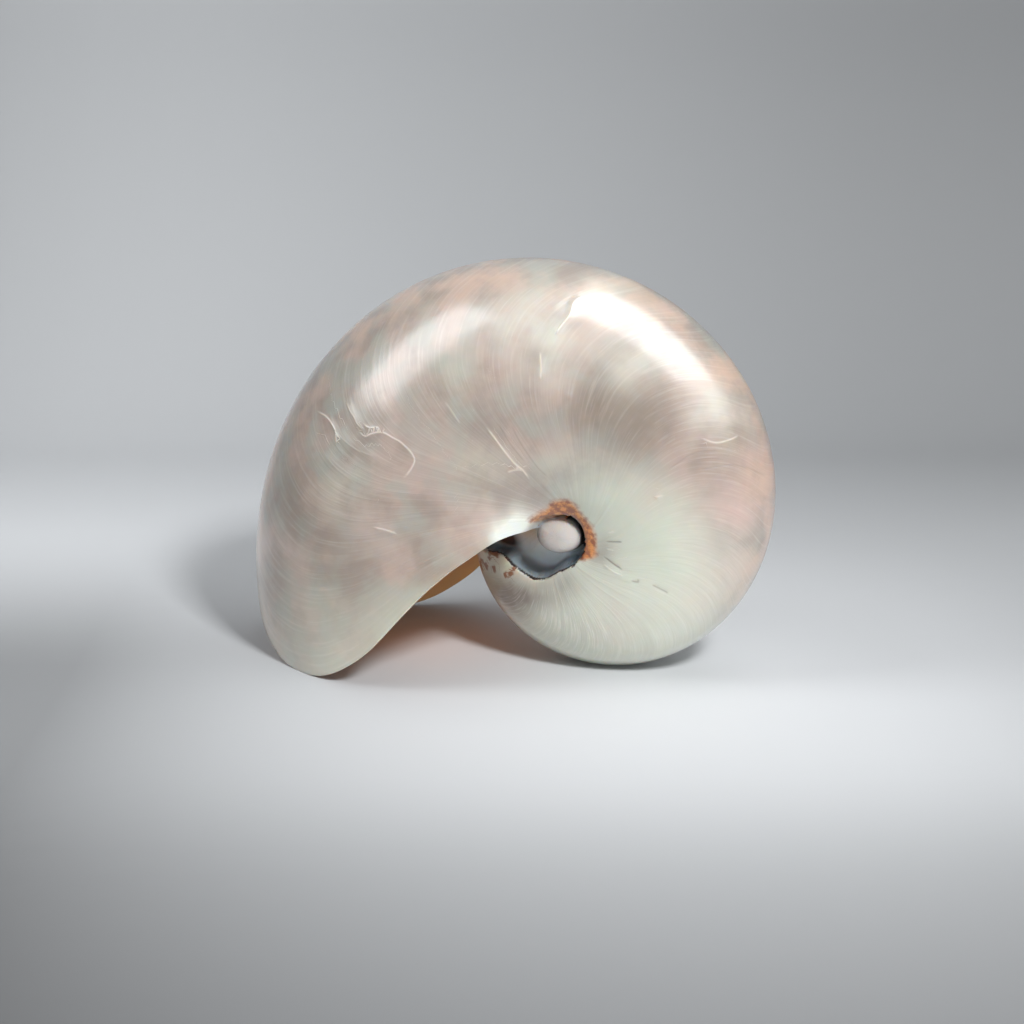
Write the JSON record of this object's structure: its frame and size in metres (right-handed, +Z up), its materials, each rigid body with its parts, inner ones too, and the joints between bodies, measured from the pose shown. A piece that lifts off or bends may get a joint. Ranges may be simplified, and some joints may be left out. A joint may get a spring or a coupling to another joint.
{
  "type": "nautilus shell",
  "caption": "Polished pearl nautilus shell, a flat coil with an open mouth and a pocket on each flank, resting on its lip and its coil.",
  "frame": {"origin": "on the ground, under the middle of the shell's box", "axes": "+X from the mouth towards the coil, +Y across the shell along its coiling axis, +Z up"},
  "size_m": [0.1498, 0.088, 0.1126],
  "materials": {
    "pearl": "polished"
  },
  "bodies": {
    "root": {"shell": "pearl"}
  },
  "joints": []
}
